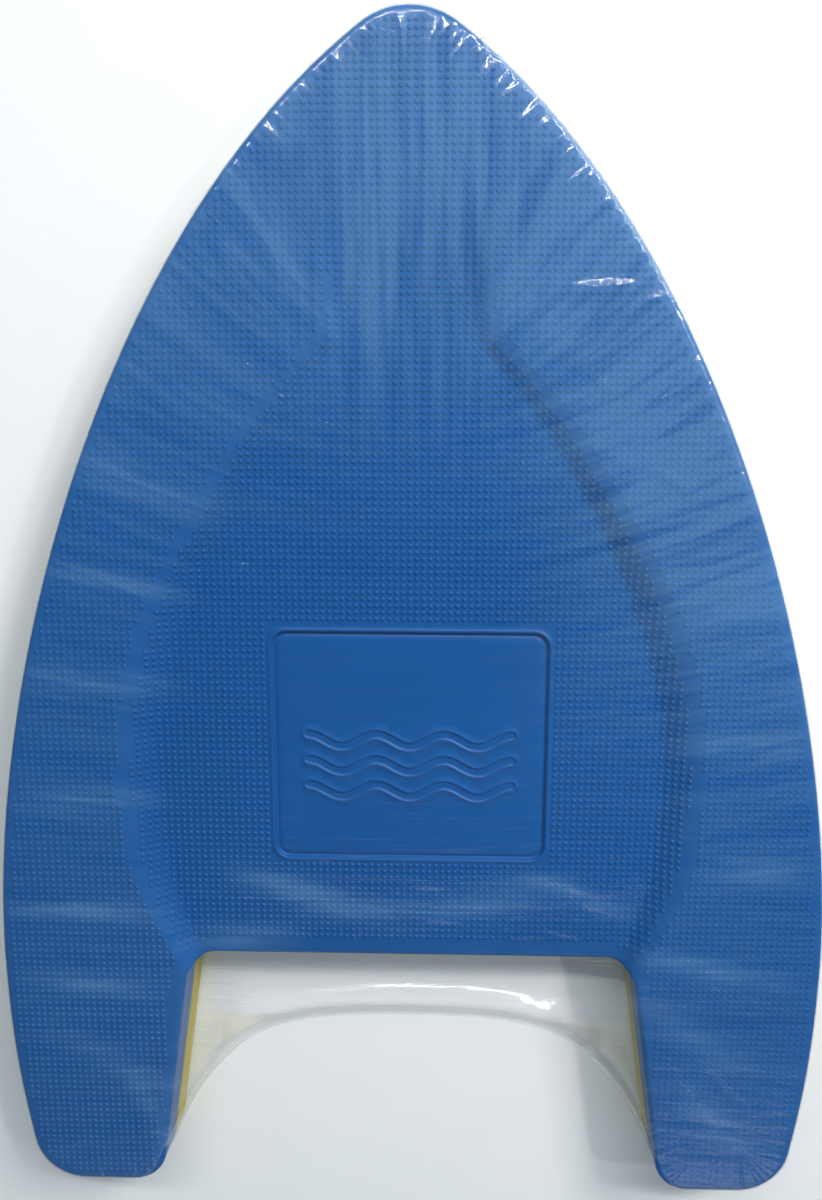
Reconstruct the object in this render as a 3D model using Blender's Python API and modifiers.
"""A-shaped swimming kickboard, wrapped for sale.

Two sheets of closed-cell foam are glued face to face. The blue deck has a shallow dish moulded in it for
the forearms, and the yellow base is flat. Clear shrink film is drawn over the board from both sides and
welded round its edge. Between the legs the film hangs free, as a web with a hollow edge.

Metres, +Z up. The board lies flat, with X across it and +Y towards the nose. The origin is under the
middle of the wrapped board. Outlines are drawn as (x, along), with along measured from the nose.
"""

import math

import bmesh
import bpy
from mathutils import Vector

# Driving dimensions of the board.
BOARD_LENGTH = 0.4205
BOARD_WIDTH = 0.305
BOARD_THICKNESS = 0.030
GAP = 0.0003  # clearance between pieces that touch on the real board

# Plan shape: a round nose, one long flank, a tail that draws in, and two flared legs.
NOSE_RADIUS = 0.027
NOSE_ANGLE = 36.0  # half angle of the nose arc, degrees
WIDEST_ALONG = 0.328
FLANK_PULLS = (0.113, 0.097)  # lengths of the flank curve's handles, nose end and wide end
TAIL_ALONG = 0.404
TAIL_HALF_WIDTH = 0.1465
TAIL_PULL = 0.028
TAIL_ANGLE = 9.5  # how far the tail has turned inwards, degrees
LEG_INNER_RADIUS = 0.012
NOTCH_DEPTH = 0.0947
NOTCH_CORNER = 0.0105
NOTCH_HALF_WIDTH = 0.0843  # where the notch's side leaves its corner
LEG_FLARE = 8.5  # lean of the notch's sides, degrees
EDGE_RADIUS = 0.0032  # rounding of the foam's outer edges

# Dish for the forearms: a channel from the nose that opens into a wide shallow floor.
DISH_DEPTH = 0.0055
CHANNEL_DEPTH = 0.0024
CHANNEL_START = 0.056
CHANNEL_HALF_WIDTH = 0.0225
SHOULDER_ALONG = 0.102
DISH_WIDEST_ALONG = 0.255
DISH_HALF_WIDTH = 0.0905
DISH_END = 0.346
CUT_PAST = 0.003  # how far a cutter stands out of the face that it cuts

# Moulded plate in the dish.
PLATE_WIDTH = 0.0985
PLATE_HEIGHT = 0.085
PLATE_ALONG = 0.2435
PLATE_CORNER = 0.0052
PLATE_DEPTH = 0.0008

# Glue, film and weld.
GLUE_THICKNESS = 0.0002
GLUE_INSET = 0.005
FILM_THICKNESS = 0.0003
WEB_ALONG = 0.355  # the film's free edge on the centre line
WEB_LEAVES = 22.0  # how far the free edge leans where it leaves a leg, degrees
WEB_PULLS = (0.058, 0.050)  # lengths of the free edge's handles, leg end and middle
WELD_RADIUS = 0.0004

# Heights, from the floor up.
FOAM_BOTTOM = FILM_THICKNESS + GAP
FOAM_TOP = FOAM_BOTTOM + BOARD_THICKNESS
MIDDLE = FOAM_BOTTOM + BOARD_THICKNESS / 2
GLUE_SLOT = GLUE_THICKNESS / 2 + GAP

SAME_PLACE = 0.00001


# ---- outlines ----


def arc(centre, radius, start, end, steps):
    """Points on an arc, both ends included. Angles are in degrees from +x towards +along."""
    turns = [math.radians(start + (end - start) * i / steps) for i in range(steps + 1)]
    return [Vector((centre[0] + radius * math.cos(a), centre[1] + radius * math.sin(a))) for a in turns]


def bezier(start, start_handle, end_handle, end, steps):
    """Points on a cubic curve, both ends included."""
    points = []
    for i in range(steps + 1):
        t = i / steps
        u = 1 - t
        near = Vector(start) * u**3 + Vector(start_handle) * 3 * u * u * t
        far = Vector(end_handle) * 3 * u * t * t + Vector(end) * t**3
        points.append(near + far)
    return points


def heading(degrees):
    """Unit vector that leans by this much from +along towards +x."""
    return Vector((math.sin(math.radians(degrees)), math.cos(math.radians(degrees))))


def leg_tip_arc(end_angle, steps):
    """Arc round the inner corner of a leg's tip, from the flat end towards the notch."""
    lean = heading(LEG_FLARE)
    notch_top = BOARD_LENGTH - NOTCH_DEPTH
    centre_along = BOARD_LENGTH - LEG_INNER_RADIUS
    touch_along = centre_along + LEG_INNER_RADIUS * lean.x
    side_start = notch_top + NOTCH_CORNER * (1 - lean.x)
    touch_x = NOTCH_HALF_WIDTH + (touch_along - side_start) * lean.x / lean.y
    centre = (touch_x + LEG_INNER_RADIUS * lean.y, centre_along)
    return arc(centre, LEG_INNER_RADIUS, 90, end_angle, steps)


def outer_half():
    """Half outline from the nose, down the flank and round the outer corner of the leg's tip."""
    nose = arc((0, NOSE_RADIUS), NOSE_RADIUS, -90, NOSE_ANGLE - 90, 5)
    leave = Vector((math.cos(math.radians(NOSE_ANGLE)), math.sin(math.radians(NOSE_ANGLE))))
    widest = Vector((BOARD_WIDTH / 2, WIDEST_ALONG))
    flank_handle = nose[-1] + leave * FLANK_PULLS[0]
    flank = bezier(nose[-1], flank_handle, widest - Vector((0, FLANK_PULLS[1])), widest, 16)
    tail_end = Vector((TAIL_HALF_WIDTH, TAIL_ALONG))
    tail_heading = heading(-TAIL_ANGLE)
    tail_handle = tail_end - tail_heading * TAIL_PULL
    tail = bezier(widest, widest + Vector((0, TAIL_PULL)), tail_handle, tail_end, 5)
    tip_radius = (BOARD_LENGTH - TAIL_ALONG) / (1 + tail_heading.x)
    tip_centre = tail_end - Vector((tail_heading.y, -tail_heading.x)) * tip_radius
    tip = arc(tip_centre, tip_radius, TAIL_ANGLE, 90, 6)
    return nose + flank[1:] + tail[1:] + tip[1:]


def foam_half():
    """Half outline of the foam, from the nose to the middle of the notch."""
    tip = leg_tip_arc(180 - LEG_FLARE, 5)
    lean = heading(LEG_FLARE)
    notch_top = BOARD_LENGTH - NOTCH_DEPTH
    corner_centre = (NOTCH_HALF_WIDTH - NOTCH_CORNER * lean.y, notch_top + NOTCH_CORNER)
    corner = arc(corner_centre, NOTCH_CORNER, -LEG_FLARE, -90, 6)
    return outer_half() + tip + corner + [Vector((0, notch_top))]


def film_half():
    """Half outline of the film: it leaves the leg's tip and runs across the notch in a hollow curve."""
    tip = leg_tip_arc(180 - WEB_LEAVES, 4)
    web_handle = tip[-1] - heading(WEB_LEAVES) * WEB_PULLS[0]
    web = bezier(tip[-1], web_handle, (WEB_PULLS[1], WEB_ALONG), (0, WEB_ALONG), 10)
    return outer_half() + tip + web[1:]


def whole(half):
    """Closed outline from a half that starts and ends on the centre line."""
    return half + [Vector((-p.x, p.y)) for p in reversed(half[1:-1])]


def grown(outline, distance):
    """The outline moved outwards by a distance, square to each of its sides."""
    moved = []
    for i, point in enumerate(outline):
        before = (point - outline[i - 1]).normalized()
        after = (outline[(i + 1) % len(outline)] - point).normalized()
        normal_before = Vector((before.y, -before.x))
        normal_after = Vector((after.y, -after.x))
        both = normal_before + normal_after
        moved.append(point + both * distance / (1 + normal_before.dot(normal_after)))
    return moved


def rounded_rectangle(width, height, radius, along):
    """Closed outline of the plate, round its centre at this distance from the nose."""
    outline = []
    for side_x, side_y, start in ((1, 1, 0), (-1, 1, 90), (-1, -1, 180), (1, -1, 270)):
        centre = (side_x * (width / 2 - radius), along + side_y * (height / 2 - radius))
        outline += arc(centre, radius, start, start + 90, 4)
    return outline


# ---- objects ----


def placed(point, z):
    """A plan point in the board's own frame."""
    return Vector((point[0], BOARD_LENGTH / 2 - point[1], z))


def material(name, color, roughness, alpha=1.0):
    made = bpy.data.materials.new(name)
    made.use_nodes = True
    shader = made.node_tree.nodes["Principled BSDF"]
    shader.inputs["Base Color"].default_value = (*color, 1.0)
    shader.inputs["Roughness"].default_value = roughness
    shader.inputs["Metallic"].default_value = 0.0
    shader.inputs["Alpha"].default_value = alpha
    return made


def flat_curve(name, outline, low, high):
    """A filled flat curve, extruded from one height to the other."""
    data = bpy.data.curves.new(name, "CURVE")
    data.dimensions = "2D"
    data.fill_mode = "BOTH"
    data.extrude = (high - low) / 2
    spline = data.splines.new("POLY")
    spline.points.add(len(outline) - 1)
    for spot, point in zip(spline.points, outline):
        spot.co = (*placed(point, 0), 1)
    spline.use_cyclic_u = True
    made = bpy.data.objects.new(name, data)
    made.location.z = (low + high) / 2
    bpy.context.scene.collection.objects.link(made)
    return made


def slab(name, outline, low, high, collection):
    """A flat plate with this outline: the flat curve as a mesh, its caps welded and joined into one face."""
    curve = flat_curve(name, outline, low, high)
    bpy.context.view_layer.update()
    graph = bpy.context.evaluated_depsgraph_get()
    mesh = bpy.data.meshes.new_from_object(curve.evaluated_get(graph))
    mesh.transform(curve.matrix_world)
    bpy.data.objects.remove(curve)
    shape = bmesh.new()
    shape.from_mesh(mesh)
    bmesh.ops.remove_doubles(shape, verts=shape.verts, dist=SAME_PLACE)
    inner = [e for e in shape.edges if len(e.link_faces) == 2 and flat_across(e)]
    bmesh.ops.dissolve_edges(shape, edges=inner)
    bmesh.ops.recalc_face_normals(shape, faces=shape.faces)
    shape.to_mesh(mesh)
    shape.free()
    made = bpy.data.objects.new(name, mesh)
    collection.objects.link(made)
    return made


def flat_across(edge):
    """True for an edge between two faces of one flat cap."""
    return all(abs(face.normal.z) > 0.999 for face in edge.link_faces)


def round_rim(piece, height, radius):
    """Rounds the edge that runs round the piece at this height."""
    shape = bmesh.new()
    shape.from_mesh(piece.data)
    weight = shape.edges.layers.float.new("bevel_weight_edge")
    for edge in shape.edges:
        if all(abs(v.co.z - height) < SAME_PLACE for v in edge.verts):
            edge[weight] = 1.0
    shape.to_mesh(piece.data)
    shape.free()
    bevel = piece.modifiers.new("rounded_edge", "BEVEL")
    bevel.limit_method = "WEIGHT"
    bevel.width = radius
    bevel.segments = 3


def open_face(piece, height):
    """Takes away the flat cap at this height, which leaves a tray."""
    shape = bmesh.new()
    shape.from_mesh(piece.data)
    caps = [f for f in shape.faces if all(abs(v.co.z - height) < SAME_PLACE for v in f.verts)]
    bmesh.ops.delete(shape, geom=caps, context="FACES_ONLY")
    shape.to_mesh(piece.data)
    shape.free()


def cut(piece, cutter):
    """Cuts the cutter's shape out of the piece."""
    boolean = piece.modifiers.new(cutter.name, "BOOLEAN")
    boolean.object = cutter
    boolean.operation = "DIFFERENCE"
    boolean.solver = "EXACT"


def hide_cutter(cutter):
    cutter.hide_render = True
    cutter.display_type = "WIRE"


def dish_sections():
    """Stations down the dish: (half width at the rim, half width of the floor, along, depth)."""
    shoulder_foot = Vector((CHANNEL_HALF_WIDTH, SHOULDER_ALONG))
    widest_foot = Vector((DISH_HALF_WIDTH, DISH_WIDEST_ALONG))
    channel = bezier((0.0215, CHANNEL_START), (0.022, 0.07), (0.0222, 0.09), shoulder_foot, 4)
    upper = bezier(shoulder_foot, (0.052, 0.130), (DISH_HALF_WIDTH, 0.195), widest_foot, 9)
    lower = bezier(widest_foot, (DISH_HALF_WIDTH, 0.290), (0.084, 0.318), (0.0700, DISH_END), 6)
    sections = []
    for foot in channel + upper[1:] + lower[1:]:
        depth = dish_depth(foot.y)
        slope = depth * slope_run(foot.y)
        sections.append((foot.x + slope, foot.x, foot.y, depth))
    return sections


def dish_depth(along):
    """Depth of the floor under the rim: it falls along the channel, and again past the shoulder."""
    down_channel = smooth_step(along, CHANNEL_START, SHOULDER_ALONG)
    down_floor = smooth_step(along, SHOULDER_ALONG, 0.200)
    return 0.0002 + CHANNEL_DEPTH * down_channel + (DISH_DEPTH - CHANNEL_DEPTH) * down_floor


def slope_run(along):
    """Width of the dish's slope for each unit of depth: wide at the waist, steep at both ends."""
    return 2.4 + 0.5 * smooth_step(along, 0.12, 0.22) - 1.3 * smooth_step(along, 0.26, 0.335)


def smooth_step(value, start, end):
    share = min(max((value - start) / (end - start), 0.0), 1.0)
    return share * share * (3 - 2 * share)


def dish_cutter(collection):
    """A loft between unlike sections: each is a shallow trough that runs on up past the rim."""
    shape = bmesh.new()
    rings = []
    for rim, foot, along, depth in dish_sections():
        profile = (
            (-rim, CUT_PAST),
            (-rim, 0),
            (-foot, -depth),
            (foot, -depth),
            (rim, 0),
            (rim, CUT_PAST),
        )
        rings.append([shape.verts.new(placed((x, along), FOAM_TOP + z)) for x, z in profile])
    for before, after in zip(rings, rings[1:]):
        for i in range(len(before)):
            j = (i + 1) % len(before)
            shape.faces.new((before[i], before[j], after[j], after[i]))
    shape.faces.new(rings[0])
    shape.faces.new(reversed(rings[-1]))
    bmesh.ops.recalc_face_normals(shape, faces=shape.faces)
    mesh = bpy.data.meshes.new("dish_cutter")
    shape.to_mesh(mesh)
    shape.free()
    cutter = bpy.data.objects.new("dish_cutter", mesh)
    collection.objects.link(cutter)
    hide_cutter(cutter)
    return cutter


def plate_cutter(collection):
    """A rounded rectangle that sinks the plate a little under the dish's floor."""
    outline = rounded_rectangle(PLATE_WIDTH, PLATE_HEIGHT, PLATE_CORNER, PLATE_ALONG)
    floor = FOAM_TOP - DISH_DEPTH - 0.0002
    cutter = slab("plate_cutter", outline, floor - PLATE_DEPTH, floor + CUT_PAST, collection)
    hide_cutter(cutter)
    return cutter


# ---- pieces ----


def deck_foam(parts, cutters):
    """Upper sheet: blue foam with a rounded rim, the dish and the sunk plate."""
    piece = slab("deck_foam", whole(foam_half()), MIDDLE + GLUE_SLOT, FOAM_TOP, parts)
    round_rim(piece, FOAM_TOP, EDGE_RADIUS)
    cut(piece, dish_cutter(cutters))
    cut(piece, plate_cutter(cutters))
    piece.data.materials.append(material("blue_foam", (0.040, 0.180, 0.480), 0.55))


def base_foam(parts):
    """Lower sheet: yellow foam, flat, with its lower edge rounded."""
    piece = slab("base_foam", whole(foam_half()), FOAM_BOTTOM, MIDDLE - GLUE_SLOT, parts)
    round_rim(piece, FOAM_BOTTOM, EDGE_RADIUS)
    piece.data.materials.append(material("yellow_foam", (0.560, 0.420, 0.070), 0.65))


def glue_layer(parts):
    """Sheet of hot-melt glue that holds the two foams together, kept back from their edges."""
    outline = grown(whole(foam_half()), -GLUE_INSET)
    low = MIDDLE - GLUE_THICKNESS / 2
    piece = slab("glue_layer", outline, low, low + GLUE_THICKNESS, parts)
    piece.data.materials.append(material("hot_melt_glue", (0.700, 0.660, 0.520), 0.40))


def film_tray(name, open_height, closed_height, film, parts):
    """One half of the wrap: film over one face of the board and down to the middle of its edge."""
    outline = grown(whole(film_half()), GAP)
    low, high = sorted((open_height, closed_height))
    piece = slab(name, outline, low, high, parts)
    open_face(piece, open_height)
    round_rim(piece, closed_height, EDGE_RADIUS + GAP)
    wall = piece.modifiers.new("film", "SOLIDIFY")
    wall.thickness = FILM_THICKNESS
    wall.offset = 1
    wall.use_even_offset = True
    piece.data.materials.append(film)


def seal_bead(film, parts):
    """Bead of melted film where the two halves of the wrap are welded, all the way round."""
    distance = GAP + FILM_THICKNESS + GAP + WELD_RADIUS
    outline = grown(whole(film_half()), distance)
    data = bpy.data.curves.new("seal_bead", "CURVE")
    data.dimensions = "3D"
    data.bevel_depth = WELD_RADIUS
    data.bevel_resolution = 2
    spline = data.splines.new("POLY")
    spline.points.add(len(outline) - 1)
    for spot, point in zip(spline.points, outline):
        spot.co = (*placed(point, MIDDLE), 1)
    spline.use_cyclic_u = True
    piece = bpy.data.objects.new("seal_bead", data)
    piece.data.materials.append(film)
    parts.objects.link(piece)


def main():
    for old in list(bpy.data.objects):
        bpy.data.objects.remove(old)
    parts = bpy.data.collections.new("kickboard")
    cutters = bpy.data.collections.new("cutters")
    for group in (parts, cutters):
        bpy.context.scene.collection.children.link(group)
    film = material("clear_film", (0.900, 0.920, 0.940), 0.08, alpha=0.25)
    deck_foam(parts, cutters)
    base_foam(parts)
    glue_layer(parts)
    film_tray("film_front", MIDDLE + GAP / 2, FOAM_TOP + GAP, film, parts)
    film_tray("film_back", MIDDLE - GAP / 2, FOAM_BOTTOM - GAP, film, parts)
    seal_bead(film, parts)


main()
